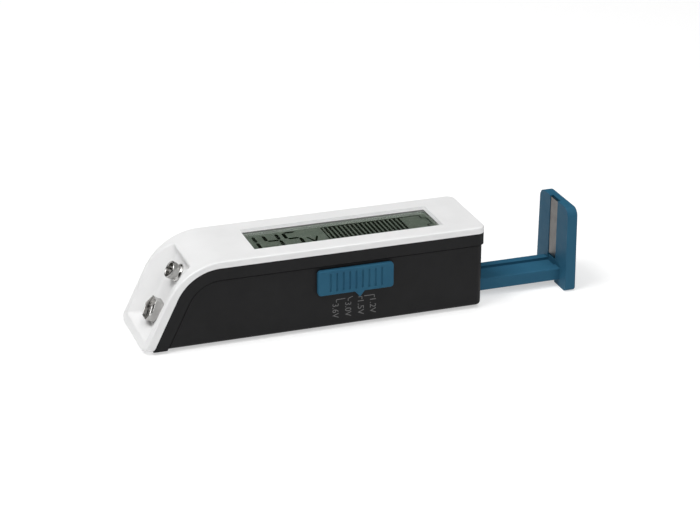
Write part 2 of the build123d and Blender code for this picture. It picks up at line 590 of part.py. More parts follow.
# ================================================================ snap terminals
with BuildPart() as snap_crown:
    with Locations(pocket_plane):
        with Locations((-SNAP_PITCH / 2, 0, 0)):
            Cylinder(2.9, 0.4, align=UPRIGHT)
            Cylinder(RIVET, 2.0, align=HANGING)
    with BuildSketch(pocket_plane.offset(0.15)):
        with Locations((-SNAP_PITCH / 2, 0)):
            RegularPolygon(CROWN_RADIUS - 0.1, 6, rotation=30)
            RegularPolygon(CROWN_RADIUS - 0.65, 6, rotation=30, mode=Mode.SUBTRACT)
    extrude(amount=CROWN_HEIGHT - 0.15)

with BuildPart() as snap_stud:
    with Locations(pocket_plane):
        with Locations((SNAP_PITCH / 2, 0, 0)):
            Cylinder(STUD_RADIUS + 0.2, 0.4, align=UPRIGHT)
            Cylinder(STUD_RADIUS - 0.25, STUD_HEIGHT - 1.2, align=UPRIGHT)
            Cylinder(RIVET, 2.0, align=HANGING)
        with Locations((SNAP_PITCH / 2, 0, STUD_HEIGHT - 1.3)):
            Cylinder(STUD_RADIUS, 1.3, align=UPRIGHT)
    rim_edge = snap_stud.edges().filter_by(GeomType.CIRCLE).sort_by(Axis.Z)[-1]
    fillet(rim_edge, 0.45)
    with Locations(pocket_plane):
        with Locations((SNAP_PITCH / 2, 0, STUD_HEIGHT)):
            Cylinder(1.75, 2.4, align=HANGING, mode=Mode.SUBTRACT)

with BuildPart() as solder_tabs:
    for along in (-SNAP_PITCH / 2, SNAP_PITCH / 2):
        with BuildSketch(pocket_plane.offset(-TUB_FLOOR - 0.45)):
            with Locations((along, 0)):
                Circle(2.0)
            with Locations((along, math.copysign(2.2, along))):
                Rectangle(1.8, 3.2)
            with Locations((along, 0)):
                Circle(1.2, mode=Mode.SUBTRACT)
        extrude(amount=0.4)

# ================================================================ own supply
with BuildPart() as button_cells:
    for side in (-1, 1):
        with Locations((CELL_X, side * (CELL[1] / 2 + 0.02), CELL_Z)):
            Cylinder(CELL[0], CELL[1] - 0.04, rotation=(90, 0, 0))

with BuildPart() as cell_plate:
    block((CELL_X - 3, CELL_X + 3), (5.55, 5.85), (3.0, 12.6))
    block((CELL_X - 1, CELL_X + 1), (5.55, 5.85), (3.0, 14.6))

with BuildPart() as cell_spring:
    block((CELL_X - 3, CELL_X + 3), (-6.6, -6.3), (3.0, 12.6))
    block((CELL_X - 1, CELL_X + 1), (-6.6, -6.3), (3.0, 14.6))
    with BuildSketch(Plane.YZ.offset(CELL_X)):
        with BuildLine():
            Polyline(
                (-6.5, 10.6),
                (-5.5, 8.2),
                (-5.5, 7.6),
                (-5.75, 7.6),
                (-5.75, 8.1),
                (-6.5, 9.9),
                close=True,
            )
        make_face()
    extrude(amount=1.5, both=True)

# ================================================================ fasteners


def screws(points, head_z, head, shank, tip_z, down):
    """Cross-head pan screws at the points; down is 1 with the head above the shank, else -1."""
    for x, y in points:
        low, high = sorted((head_z, head_z + down * head[1]))
        with Locations((x, y, low)):
            Cylinder(head[0], high - low, align=UPRIGHT)
        low, high = sorted((head_z, tip_z))
        with Locations((x, y, low)):
            Cylinder(shank, high - low, align=UPRIGHT)
        with Locations((x, y, head_z + down * head[1])):
            Box(head[0] * 1.1, 0.35, 0.9, mode=Mode.SUBTRACT)
            Box(0.35, head[0] * 1.1, 0.9, mode=Mode.SUBTRACT)


with BuildPart() as case_screws:
    screws(CASE_SCREWS, 11.0, (1.8, 1.3), 0.85, 22.0, -1)

with BuildPart() as guide_screws:
    screws(GUIDE_SCREWS, GUIDE_Z[1], (1.6, 1.0), 0.8, 2.4, 1)

with BuildPart() as board_screws:
    screws(BOARD_SCREWS, BOARD_TOP, (1.6, 1.0), 0.8, 11.6, 1)

with BuildPart() as door_screw:
    with Locations((DOOR_SCREW[0], DOOR_SCREW[1], 0)):
        Cone(1.5, 0.75, 0.65, align=UPRIGHT)
        Cylinder(0.7, 3.7, align=UPRIGHT)
        Box(1.9, 0.35, 0.6, mode=Mode.SUBTRACT)
        Box(0.35, 1.9, 0.6, mode=Mode.SUBTRACT)

# ================================================================ leads
def lead(start, heading, *points):
    """Round wire from start, along heading at first, through the points and up into the last one."""
    with BuildLine() as path:
        Spline(start, *points, tangents=(heading, (0, 0, 1)))
    with BuildSketch(Plane(origin=start, z_dir=heading)) as section:
        Circle(LEAD)
    sweep(sections=section.sketch, path=path.line)


tab_depth = -TUB_FLOOR - 0.45 - LEAD
stud_tab = tuple(pocket_plane.from_local_coords(Vector(SNAP_PITCH / 2, 3.0, tab_depth)))
crown_tab = tuple(pocket_plane.from_local_coords(Vector(-SNAP_PITCH / 2, -3.0, tab_depth)))

with BuildPart() as red_leads:
    lead(stud_tab, (0, 1, 0), (-32.0, 4.6, 16.2), (-27.0, 2.5, BOARD_Z))
    lead((CELL_X, 5.86 + LEAD, 14.0), (1, 0, 0), (-30.6, 5.9, 15.4), (-26.8, 5.6, BOARD_Z))
    lead((11.5, 5.61 + LEAD, 7.0), (0, 0, 1), (11.9, 6.6, 13.0), (12.5, 6.4, BOARD_Z))

with BuildPart() as black_leads:
    round_cells = (
        (-41.6, -7.6, 6.0),
        (-39.6, -9.2, 8.8),
        (-37.0, -9.0, 12.6),
        (-34.6, -7.0, 15.6),
        (-31.0, -3.6, 16.6),
    )
    lead(crown_tab, (0, -1, 0), *round_cells, (-27.0, -2.4, BOARD_Z))
    lead((CELL_X, -6.64 - LEAD, 14.0), (1, 0, 0), (-31.4, -5.9, 15.4), (-26.8, -5.6, BOARD_Z))
    lead((46.6, 0, 16.49 - LEAD), (-1, 0, 0), (44.2, 0, 15.7), (42.6, 0, BOARD_Z))

assembly = {
    "top_cover": top_cover,
    "bottom_housing": bottom_housing,
    "battery_door": battery_door,
    "display_window": display_window,
    "front_polariser": front_polariser,
    "lcd_front_glass": lcd_front_glass,
    "lcd_back_glass": lcd_back_glass,
    "lcd_reflector": lcd_reflector,
    "lcd_holder": lcd_holder,
    "zebra_strip": zebra_strip,
    "circuit_board": circuit_board,
    "controller_chip": controller_chip,
    "load_resistors": load_resistors,
    "chip_capacitors": chip_capacitors,
    "switch_case": switch_case,
    "switch_lever": switch_lever,
    "selector_knob": selector_knob,
    "slide_arm": slide_arm,
    "jaw_contact": jaw_contact,
    "arm_guide": arm_guide,
    "contact_rail": contact_rail,
    "end_contact": end_contact,
    "snap_crown": snap_crown,
    "snap_stud": snap_stud,
    "solder_tabs": solder_tabs,
    "button_cells": button_cells,
    "cell_plate": cell_plate,
    "cell_spring": cell_spring,
    "case_screws": case_screws,
    "guide_screws": guide_screws,
    "board_screws": board_screws,
    "door_screw": door_screw,
    "red_leads": red_leads,
    "black_leads": black_leads,
}
for name, piece in assembly.items():
    save(piece.part, name)
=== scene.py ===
"""Looks for a pocket battery tester: a white and black casing with a display, a blue selector, a
sliding jaw and two nickel snap terminals.

The frame gives every CAD piece in its place.  This script adds the display's segments, the printed
scale and the pressed-metal snaps, gives each piece its material, and sets the floor, lights and camera.
Metres, +X towards the jaw, +Y to the back, +Z up, the table at Z = 0.
"""

import json
import math

import bmesh
import bpy
import numpy as np
from mathutils import Matrix, Vector


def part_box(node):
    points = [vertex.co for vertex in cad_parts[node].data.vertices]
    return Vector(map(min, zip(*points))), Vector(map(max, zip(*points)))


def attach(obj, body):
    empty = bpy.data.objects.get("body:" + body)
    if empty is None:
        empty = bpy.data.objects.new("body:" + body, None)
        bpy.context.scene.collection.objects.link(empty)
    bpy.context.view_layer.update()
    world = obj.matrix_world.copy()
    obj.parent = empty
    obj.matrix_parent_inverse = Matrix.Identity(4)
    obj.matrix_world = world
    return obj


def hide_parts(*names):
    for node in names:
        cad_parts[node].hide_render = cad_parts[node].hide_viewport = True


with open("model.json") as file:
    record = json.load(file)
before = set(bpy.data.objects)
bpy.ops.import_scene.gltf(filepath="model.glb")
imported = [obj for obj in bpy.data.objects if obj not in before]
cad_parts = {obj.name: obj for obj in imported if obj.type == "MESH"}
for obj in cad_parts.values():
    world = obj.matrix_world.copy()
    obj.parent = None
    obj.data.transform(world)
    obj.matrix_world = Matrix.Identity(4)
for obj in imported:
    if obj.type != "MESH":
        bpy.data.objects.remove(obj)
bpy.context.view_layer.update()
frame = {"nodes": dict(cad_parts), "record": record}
nodes = frame["nodes"]

MM = 0.001


# ================================================================ meshes
def add_piece(name, points, faces, body, material, smooth=False):
    """Makes a mesh piece from an array of points and lists of faces, and lets it ride on a body."""
    mesh = bpy.data.meshes.new(name)
    mesh.from_pydata(np.asarray(points, float).tolist(), [], [list(map(int, face)) for face in faces])
    mesh.polygons.foreach_set("use_smooth", np.full(len(mesh.polygons), smooth))
    mesh.materials.append(material)
    mesh.update()
    piece = bpy.data.objects.new(name, mesh)
    bpy.context.scene.collection.objects.link(piece)
    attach(piece, body)
    return piece


def prisms(outlines, low, high):
    """Flat prisms, one for each outline in an (n, k, 2) array.

    The points are the outlines at height low, then the same outlines at height high.  The sides join
    corner i to corner i + 1, the last corner joins the first, and both ends are closed.
    """
    count, corners = outlines.shape[:2]
    rings = [np.dstack([outlines, np.full((count, corners), height)]) for height in (low, high)]
    points = np.concatenate(rings, axis=1).reshape(-1, 3)
    first = 2 * corners * np.arange(count)[:, None]
    here = np.arange(corners)
    after = (here + 1) % corners
    sides = np.stack([here, after, after + corners, here + corners], axis=1)
    faces = [*(first + here[::-1]), *(first + here + corners), *(first[:, :, None] + sides).reshape(-1, 4)]
    return points, faces


def strokes(ends, width, point=0.0):
    """Outlines of straight strokes from an (n, 2, 2) array of their two ends.

    A stroke is a bar of the given width along its line.  With a point, each end narrows to the line's
    end over that length, so the outline has six corners: the two ends and, a point's length inside
    each, the line plus and minus half the width.
    """
    start, stop = ends[:, 0], ends[:, 1]
    along = (stop - start) / np.linalg.norm(stop - start, axis=1, keepdims=True)
    across = np.stack([-along[:, 1], along[:, 0]], axis=1) * width / 2
    inner_start, inner_stop = start + along * point, stop - along * point
    sides = [inner_start - across, inner_stop - across, inner_stop + across, inner_start + across]
    if point:
        sides = [start, *sides[:2], stop, *sides[2:]]
    return np.stack(sides, axis=1)


def grid_faces(rows, columns):
    """Quads of a grid whose columns run round: the last column is joined to the first."""
    row, column = np.meshgrid(np.arange(rows - 1), np.arange(columns), indexing="ij")
    here, above = row * columns, (row + 1) * columns
    after = (column + 1) % columns
    quads = [here + column, here + after, above + after, above + column]
    return np.stack([quad.ravel() for quad in quads], axis=1)


# ================================================================ materials
NOISE_LOW, NOISE_HIGH = 0.3, 0.7  # nearly all of a noise texture's values lie between these


def linear(hex_colour):
    """sRGB hex colour as linear RGBA."""
    parts = np.array([int(hex_colour[i:i + 2], 16) for i in (1, 3, 5)]) / 255
    parts = np.where(parts <= 0.04045, parts / 12.92, ((parts + 0.055) / 1.055) ** 2.4)
    return (*parts.tolist(), 1.0)


def add_node(tree, kind, settings=None, **links):
    """Adds a node, sets its attributes, or its inputs by name or number, and links outputs to its inputs."""
    node = tree.nodes.new(kind)
    for name, value in (settings or {}).items():
        if isinstance(name, str) and hasattr(node, name):
            setattr(node, name, value)
        else:
            node.inputs[name].default_value = value
    for name, output in links.items():
        tree.links.new(output, node.inputs[name.replace("_", " ")])
    return node


def start_material(name, colour, roughness, **shader_values):
    """Starts a material with one Principled shader and returns the material, its tree and the shader."""
    material = bpy.data.materials.new(name)
    material.use_nodes = True
    tree = material.node_tree
    shader = tree.nodes["Principled BSDF"]
    shader.inputs["Base Color"].default_value = linear(colour)
    shader.inputs["Roughness"].default_value = roughness
    for socket, value in shader_values.items():
        shader.inputs[socket.replace("_", " ")].default_value = value
    return material, tree, shader


def speckle(tree, size, detail=2.0, finer=(1, 1, 1)):
    """Noise on the piece's own coordinates, in blobs about size millimetres across.

    Along each axis the blobs are shorter by the factor in finer.
    """
    place = add_node(tree, "ShaderNodeTexCoord").outputs["Object"]
    scale = tuple(factor / (size * MM) for factor in finer)
    moved = add_node(tree, "ShaderNodeMapping", {"Scale": scale}, Vector=place)
    noise = add_node(tree, "ShaderNodeTexNoise", {"Scale": 1.0, "Detail": detail}, Vector=moved.outputs[0])
    return noise.outputs["Fac"]


def between(tree, factor, low, high, start=NOISE_LOW, stop=NOISE_HIGH):
    """Number that goes from low to high as the factor goes from start to stop."""
    settings = {"From Min": start, "From Max": stop, "To Min": low, "To Max": high}
    return add_node(tree, "ShaderNodeMapRange", settings, Value=factor).outputs["Result"]


def tint(tree, shader, factor, colours):
    """Base colour that runs through evenly spaced hex colours as the factor goes up a noise's range."""
    ramp = add_node(tree, "ShaderNodeValToRGB", None, Fac=factor)
    band = ramp.color_ramp
    for place, colour in zip(np.linspace(NOISE_LOW, NOISE_HIGH, len(colours)), colours):
        stop = band.elements.new(float(place))
        stop.color = linear(colour)
    band.elements.remove(band.elements[0])
    band.elements.remove(band.elements[-1])
    tree.links.new(ramp.outputs["Color"], shader.inputs["Base Color"])


def relief(tree, shader, height, depth):
    """Bump of the given depth in millimetres from a height between 0 and 1."""
    settings = {"Strength": 1.0, "Distance": depth * MM}
    bump = add_node(tree, "ShaderNodeBump", settings, Height=height)
    tree.links.new(bump.outputs["Normal"], shader.inputs["Normal"])


def moulded(name, colours, roughness, grain, depth, **shader_values):
    """Moulded plastic: faint flow marks in its colour, uneven gloss, and an etched grain.

    The grain's width and depth are in millimetres.
    """
    material, tree, shader = start_material(name, colours[0], roughness, **shader_values)
    tint(tree, shader, speckle(tree, 9.0, 3.0), colours)
    gloss = between(tree, speckle(tree, 3.5), roughness - 0.04, roughness + 0.05)
    tree.links.new(gloss, shader.inputs["Roughness"])
    relief(tree, shader, speckle(tree, grain, 1.0), depth)
    return material


def worked_metal(name, colours, roughness, finer, line, depth):
    """Rolled, drawn or plated metal: an uneven tone, and roughness that follows its surface's relief.

    The relief is a noise of the line's width and depth in millimetres, and runs in lines along the axis
    on which it is least fine.
    """
    material, tree, shader = start_material(name, colours[0], roughness, Metallic=1.0)
    tint(tree, shader, speckle(tree, 2.5, 3.0), colours)
    lines = speckle(tree, line, 3.0, finer)
    tree.links.new(between(tree, lines, roughness - 0.05, roughness + 0.08), shader.inputs["Roughness"])
    relief(tree, shader, lines, depth)
    return material


# Satin white ABS from a polished and lightly blasted mould: bright, with a soft broad highlight.
white_abs = moulded(
    "white ABS, satin moulded", ["#E0E0E0", "#E4E4E4"], 0.34, 0.5, 0.004, Specular_IOR_Level=0.35,
)

# Black ABS from a spark-eroded mould: a fine pebble grain kills the gloss.  The real grain is about
# 0.1 mm, drawn at 0.3 mm so that it shows.
black_abs = moulded(
    "black ABS, spark-eroded", ["#141415", "#171718"], 0.5, 0.3, 0.02, Specular_IOR_Level=0.18,
)

# Petrol-blue ABS, through-coloured and satin, for the parts that the fingers move.
petrol_abs = moulded(
    "petrol ABS, satin moulded", ["#27546D", "#2B5A72"], 0.5, 0.4, 0.005, Specular_IOR_Level=0.08,
)

# Natural nylon of the display's holder: milky and slightly waxy.
nylon = moulded("natural nylon, moulded", ["#D6D3C8", "#DEDBD1"], 0.45, 0.6, 0.008, Subsurface_Weight=0.1)

# Black phenolic of the slide switch: hard, dull, with a mineral filler.
phenolic = moulded("black phenolic, pressed", ["#17150F", "#1E1B16"], 0.55, 0.25, 0.012)

# Nickel plate over brass on the snaps: bright and nearly a mirror, with a neutral grey tone.
bright_nickel = worked_metal("bright nickel plate", ["#A9A8A6", "#B6B5B3"], 0.12, (1, 1, 1), 0.8, 0.002)

# Nickel-plated spring steel strip, drawn along its length: satin, with fine lengthwise lines.
satin_nickel = worked_metal(
    "nickel-plated strip, drawn", ["#555351", "#646260"], 0.3, (12, 12, 0.6), 1.6, 0.003,
)

# Rolled brass strip inside: warm yellow with rolling lines along the rail.
rolled_brass = worked_metal("rolled brass strip", ["#C9A24A", "#D8B25C"], 0.28, (0.5, 12, 12), 1.6, 0.003)

# Zinc-plated steel of the screws: greyish with a faint blue cast and a little frosting.
zinc_plate = worked_metal("zinc-plated steel", ["#9EA1A6", "#B4B7BB"], 0.35, (1, 1, 1), 0.4, 0.004)

# Stainless can of the button cells: satin from deep drawing.
cell_steel = worked_metal("stainless cell can, drawn", ["#B7B6B2", "#C8C7C4"], 0.26, (1, 12, 1), 1.2, 0.002)


def clear_acrylic():
    """Polished acrylic pane: clear, and lamps reach what is under it."""
    material, tree, shader = start_material(
        "clear acrylic, polished", "#F7FAF8", 0.02, IOR=1.49, Transmission_Weight=1.0,
    )
    wear = between(tree, speckle(tree, 6.0, 3.0), 0.01, 0.05)
    tree.links.new(wear, shader.inputs["Roughness"])
    shadow = add_node(tree, "ShaderNodeLightPath").outputs["Is Shadow Ray"]
    through = add_node(tree, "ShaderNodeBsdfTransparent", {"Color": linear("#F2F5F3")})
    mixed = add_node(tree, "ShaderNodeMixShader", None, Fac=shadow)
    tree.links.new(shader.outputs["BSDF"], mixed.inputs[1])
    tree.links.new(through.outputs["BSDF"], mixed.inputs[2])
    tree.links.new(mixed.outputs["Shader"], tree.nodes["Material Output"].inputs["Surface"])
    return material


def float_glass():
    """Thin soda-lime glass of the display cell: faint green, coated."""
    material, tree, shader = start_material(
        "float glass, thin", "#E4EEE8", 0.03, IOR=1.52, Transmission_Weight=1.0,
    )
    tree.links.new(between(tree, speckle(tree, 8.0), 0.02, 0.06), shader.inputs["Roughness"])
    return material


def display_film():
    """Polariser over a reflective display: grey-green, with the fine grain of the film's haze."""
    material, tree, shader = start_material(
        "polarising film, grey-green", "#535950", 0.5, Specular_IOR_Level=0.1,
    )
    tint(tree, shader, speckle(tree, 1.2, 4.0), ["#50564E", "#565C54"])
    tree.links.new(between(tree, speckle(tree, 2.0), 0.45, 0.6), shader.inputs["Roughness"])
    relief(tree, shader, speckle(tree, 0.3), 0.004)
    return material


def reflector_foil():
    """Grained aluminium-coated film behind the display: silver-green and diffuse."""
    material, tree, shader = start_material("reflector foil, grained", "#AEB6A4", 0.5, Metallic=1.0)
    tint(tree, shader, speckle(tree, 0.4, 3.0), ["#A3AB99", "#B9C1AE"])
    relief(tree, shader, speckle(tree, 0.3), 0.01)
    return material


def layered_silicone():
    """Connector strip: black conducting layers between pink insulating ones, square to X."""
    material, tree, shader = start_material("layered silicone", "#B77F7A", 0.6)
    place = add_node(tree, "ShaderNodeTexCoord").outputs["Object"]
    layer_pitch = 0.2 * MM
    wave_period = 2 * math.pi / 20  # of the wave texture, at a scale of 1
    settings = {"wave_type": "BANDS", "bands_direction": "X", "Scale": wave_period / layer_pitch}
    layers = add_node(tree, "ShaderNodeTexWave", settings, Vector=place).outputs["Fac"]
    tint(tree, shader, layers, ["#C08C86", "#241E1E"])
    relief(tree, shader, layers, 0.01)
    return material


def board_laminate():
    """Glass-epoxy board under green solder mask: raised copper areas, with lighter etched gaps between."""
    material, tree, shader = start_material(
        "solder-masked laminate", "#1E5A36", 0.3, Coat_Weight=0.4, Coat_Roughness=0.15,
    )
    place = add_node(tree, "ShaderNodeTexCoord").outputs["Object"]
    settings = {
        "offset": 0.37, "Scale": 1.0,
        "Mortar Size": 0.25 * MM, "Brick Width": 9.0 * MM, "Row Height": 1.3 * MM,
    }
    brick = add_node(tree, "ShaderNodeTexBrick", settings, Vector=place)
    copper = add_node(tree, "ShaderNodeMath", {"operation": "SUBTRACT", 0: 1.0})
    tree.links.new(brick.outputs["Fac"], copper.inputs[1])
    tint(tree, shader, copper.outputs[0], ["#2C7146", "#1B4F30"])
    relief(tree, shader, copper.outputs[0], 0.02)
    return material


def chip_epoxy():
    """Moulded epoxy body and tinned legs: the legs are what lies outside the body's width along Y."""
    material, tree, shader = start_material("moulded epoxy and tinned legs", "#1B1B1C", 0.5)
    place = add_node(tree, "ShaderNodeTexCoord").outputs["Object"]
    across = add_node(tree, "ShaderNodeSeparateXYZ", None, Vector=place).outputs["Y"]
    low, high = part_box("controller_chip")
    half_body = 3.55 * MM
    settings = {"operation": "COMPARE", 1: (low.y + high.y) / 2, 2: half_body}
    on_body = add_node(tree, "ShaderNodeMath", settings)
    tree.links.new(across, on_body.inputs[0])
    shade = between(tree, on_body.outputs[0], NOISE_LOW, NOISE_HIGH, 0.0, 1.0)
    tint(tree, shader, shade, ["#B9BABC", "#1B1B1C"])
    metal = between(tree, on_body.outputs[0], 1.0, 0.0, 0.0, 1.0)
    tree.links.new(metal, shader.inputs["Metallic"])
    relief(tree, shader, speckle(tree, 0.15), 0.006)
    return material


def banded_lacquer(name, ground, bands, pitch):
    """Lacquered resistor bodies with coloured rings across X, centred on the bodies' middle.

    The bands are hex colours, a pitch apart, and a ring covers 0.56 of the pitch.
    """
    material, tree, shader = start_material(name, ground, 0.3, Coat_Weight=0.5)
    place = add_node(tree, "ShaderNodeTexCoord").outputs["Object"]
    along = add_node(tree, "ShaderNodeSeparateXYZ", None, Vector=place).outputs["X"]
    low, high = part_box("load_resistors")
    middle = (low.x + high.x) / 2
    half_ring = 0.28 * pitch
    under, over, result = 6, 7, 2  # a Mix node's sockets for two colours and their mixture
    colour = None
    for step, band in enumerate(bands):
        settings = {"operation": "COMPARE", 1: middle + pitch * (step - (len(bands) - 1) / 2), 2: half_ring}
        ring = add_node(tree, "ShaderNodeMath", settings)
        tree.links.new(along, ring.inputs[0])
        mix = add_node(tree, "ShaderNodeMix", {"data_type": "RGBA"})
        tree.links.new(ring.outputs[0], mix.inputs["Factor"])
        mix.inputs[over].default_value = linear(band)
        if colour is None:
            mix.inputs[under].default_value = linear(ground)
        else:
            tree.links.new(colour, mix.inputs[under])
        colour = mix.outputs[result]
    tree.links.new(colour, shader.inputs["Base Color"])
    relief(tree, shader, speckle(tree, 0.8), 0.01)
    return material


def chip_ceramic():
    """Fired ceramic chips: tan, with an uneven tone from the firing."""
    material, tree, shader = start_material("fired ceramic chips", "#B0865A", 0.5)
    tint(tree, shader, speckle(tree, 0.7, 3.0), ["#A67C50", "#BA9164"])
    relief(tree, shader, speckle(tree, 0.2), 0.005)
    return material


def wire_insulation(name, colours):
    """Soft PVC insulation: slightly glossy, with the faintly uneven skin of extrusion."""
    material, tree, shader = start_material(name, colours[0], 0.35, IOR=1.53)
    tint(tree, shader, speckle(tree, 4.0), colours)
    relief(tree, shader, speckle(tree, 0.5, 2.0), 0.008)
    return material


def printed_ink(name, colours, roughness, grain, **shader_values):
    """Thin printed or deposited layer with a slightly uneven tone."""
    material, tree, shader = start_material(name, colours[0], roughness, **shader_values)
    tint(tree, shader, speckle(tree, grain, 3.0), colours)
    relief(tree, shader, speckle(tree, 0.15), 0.003)
    return material


# Dark state of the liquid crystal: nearly black, with a green cast.
dark_segment = printed_ink(
    "liquid crystal, dark state", ["#0B0D09", "#10130E"], 0.6, 0.8, Specular_IOR_Level=0.0,
)

# Pad-printed grey ink of the scale on the grained black wall: it lies thin over the grain.
grey_ink = printed_ink("grey pad-printing ink", ["#525252", "#606060"], 0.55, 0.5)

thin_glass = float_glass()

# What each CAD node is made of.
finishes = {
    "top_cover": white_abs,
    "bottom_housing": black_abs,
    "battery_door": black_abs,
    "display_window": clear_acrylic(),
    "front_polariser": display_film(),
    "lcd_front_glass": thin_glass,
    "lcd_back_glass": thin_glass,
    "lcd_reflector": reflector_foil(),
    "lcd_holder": nylon,
    "zebra_strip": layered_silicone(),
    "circuit_board": board_laminate(),
    "controller_chip": chip_epoxy(),
    "load_resistors": banded_lacquer(
        "lacquered resistors", "#C9A97C", ["#7A3E1D", "#1A1A1A", "#C7662B", "#B08D3C"], 1.3 * MM,
    ),
    "chip_capacitors": chip_ceramic(),
    "switch_case": phenolic,
    "switch_lever": phenolic,
    "selector_knob": petrol_abs,
    "slide_arm": petrol_abs,
    "jaw_contact": satin_nickel,
    "arm_guide": nylon,
    "contact_rail": rolled_brass,
    "end_contact": satin_nickel,
    "snap_crown": bright_nickel,
    "snap_stud": bright_nickel,
    "solder_tabs": rolled_brass,
    "button_cells": cell_steel,
    "cell_plate": satin_nickel,
    "cell_spring": satin_nickel,
    "case_screws": zinc_plate,
    "guide_screws": zinc_plate,
    "board_screws": zinc_plate,
    "door_screw": zinc_plate,
    "red_leads": wire_insulation("red PVC insulation", ["#A31A16", "#B0201B"]),
    "black_leads": wire_insulation("black PVC insulation", ["#161616", "#1E1E1E"]),
}
for node_name, material in finishes.items():
    mesh = nodes[node_name].data
    mesh.materials.clear()
    mesh.materials.append(material)

# ================================================================ snap terminals
snap_pair = next(mount for mount in frame["record"]["mounts"] if mount["name"] == "snap_pair")
SNAP_TIPS = np.array(snap_pair["pos_m"])
SNAP_OUT = np.array(snap_pair["axis"])
SNAP_UP = np.array([SNAP_OUT[2], 0.0, -SNAP_OUT[0]])  # up the nose
SNAP_SIDE = np.cross(SNAP_UP, SNAP_OUT)  # across the nose
SNAP_HEIGHT = 3.1 * MM  # of the tips above the pocket's floor
SNAP_PITCH = 12.7 * MM
TURNS = 180  # points round a shell


def hexagon(angles, sharpness=60.0):
    """Distance from the middle to a rounded hexagon whose flats are 1 away; two flats run across the nose.

    It is the smooth least of the distances to the six flats: with c the positive cosines of the angles
    to the flats' normals, the sum of c to the power of the sharpness, to the power of minus one over it.
    """
    normals = np.pi / 6 + np.arange(6) * np.pi / 3
    cosines = np.maximum(np.cos(angles[:, None] - normals), 0.0)
    return (cosines ** sharpness).sum(axis=1) ** (-1 / sharpness)


def pressed_shell(name, along, profile, shape):
    """Pressed-metal shell that stands on the pocket's floor, as rings carried along a profile.

    The profile's rows are a flat distance and a height in millimetres.  A ring's radius is its flat
    distance times the shape of the angle.  The first and the last ring are closed with a flat face.
    """
    angles = np.linspace(0, 2 * np.pi, TURNS, endpoint=False)
    flat, height = (np.array(profile) * MM).T
    radius = flat[:, None] * shape(angles)
    middle = SNAP_TIPS - SNAP_HEIGHT * SNAP_OUT + along * SNAP_UP
    points = (
        middle
        + (radius * np.cos(angles))[..., None] * SNAP_SIDE
        + (radius * np.sin(angles))[..., None] * SNAP_UP
        + height[:, None, None] * SNAP_OUT
    )
    first_ring = np.arange(TURNS)
    last_ring = first_ring + (len(profile) - 1) * TURNS
    faces = [*grid_faces(len(profile), TURNS), first_ring[::-1], last_ring]
    return add_piece(name, points.reshape(-1, 3), faces, "casing", bright_nickel, smooth=True)


def lip(outer, inner, top):
    """Half circle over a rim, from its outer to its inner distance, as profile rows."""
    turn = np.linspace(0, np.pi, 9)
    radius = (outer - inner) / 2
    return np.stack([inner + radius + radius * np.cos(turn), top - radius + radius * np.sin(turn)], axis=1)


# Socket: outside wall from the floor up, slightly waisted, then the rim, then down inside to its bottom.
CROWN_PROFILE = [
    (3.3, 0.0), (3.3, 0.25), (3.2, 0.5), (3.16, 1.2), (3.22, 1.9), (3.3, 2.4),
    *lip(3.34, 3.06, 2.7),
    (3.02, 2.3), (2.85, 1.5), (2.8, 0.8), (2.6, 0.5),
]
# Stud: flange, neck, bulged head and its rim, then down inside to its bottom.
STUD_PROFILE = [
    (2.75, 0.0), (2.75, 0.25), (2.6, 0.4), (2.34, 0.5), (2.3, 1.1), (2.42, 1.5), (2.54, 1.8), (2.56, 2.6),
    *lip(2.55, 2.05, 3.1),
    (2.0, 2.5), (1.95, 1.2), (1.7, 0.8),
]
crown = pressed_shell("crown_shell", -SNAP_PITCH / 2, CROWN_PROFILE, hexagon)
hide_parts("snap_crown")
stud = pressed_shell("stud_shell", SNAP_PITCH / 2, STUD_PROFILE, np.ones_like)
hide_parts("snap_stud")

# ================================================================ display
FILM_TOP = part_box("front_polariser")[1].z
SEGMENT_LOW = FILM_TOP + 0.01 * MM  # just over the film, so that the two faces never coincide
SEGMENT_HIGH = FILM_TOP + 0.04 * MM
ROW_Y = np.array([-4.85, -0.25, 4.35]) * MM  # bottom, middle and top strokes of the digits
DIGIT_WIDTH = 3.9 * MM  # between the middles of its upright strokes
STROKE = 1.0 * MM
STROKE_GAP = 0.2 * MM  # from a digit's corner to the end of a stroke

# Each stroke of a digit runs between two corners of a grid of two columns and three rows.
DIGIT_STROKES = {
    "top": ((0, 2), (1, 2)),
    "upper_left": ((0, 1), (0, 2)),
    "upper_right": ((1, 1), (1, 2)),
    "middle": ((0, 1), (1, 1)),
    "lower_left": ((0, 0), (0, 1)),
    "lower_right": ((1, 0), (1, 1)),
    "bottom": ((0, 0), (1, 0)),
}
SHOWN_DIGITS = [
    (-18.05 * MM, ["upper_right", "lower_right"]),
    (-11.1 * MM, ["upper_left", "upper_right", "middle", "lower_right"]),
    (-5.05 * MM, ["top", "upper_left", "middle", "lower_right", "bottom"]),
]


def digit_ends(left, names):
    """Both ends of a digit's strokes: corners of its grid, each drawn in by the gap along the stroke."""
    columns = np.array([left, left + DIGIT_WIDTH])
    grid = np.array([DIGIT_STROKES[name] for name in names])
    ends = np.stack([columns[grid[..., 0]], ROW_Y[grid[..., 1]]], axis=-1)
    along = ends[:, 1] - ends[:, 0]
    along = along / np.linalg.norm(along, axis=1, keepdims=True) * STROKE_GAP
    return ends + np.stack([along, -along], axis=1)


def add_segments(name, outlines):
    """Dark segments with the given outlines, lying over the display's film."""
    points, faces = prisms(outlines, SEGMENT_LOW, SEGMENT_HIGH)
    return add_piece(name, points, faces, "casing", dark_segment)


digit_strokes = np.concatenate([digit_ends(*digit) for digit in SHOWN_DIGITS])
add_segments("display_digits", strokes(digit_strokes, STROKE, STROKE / 2))

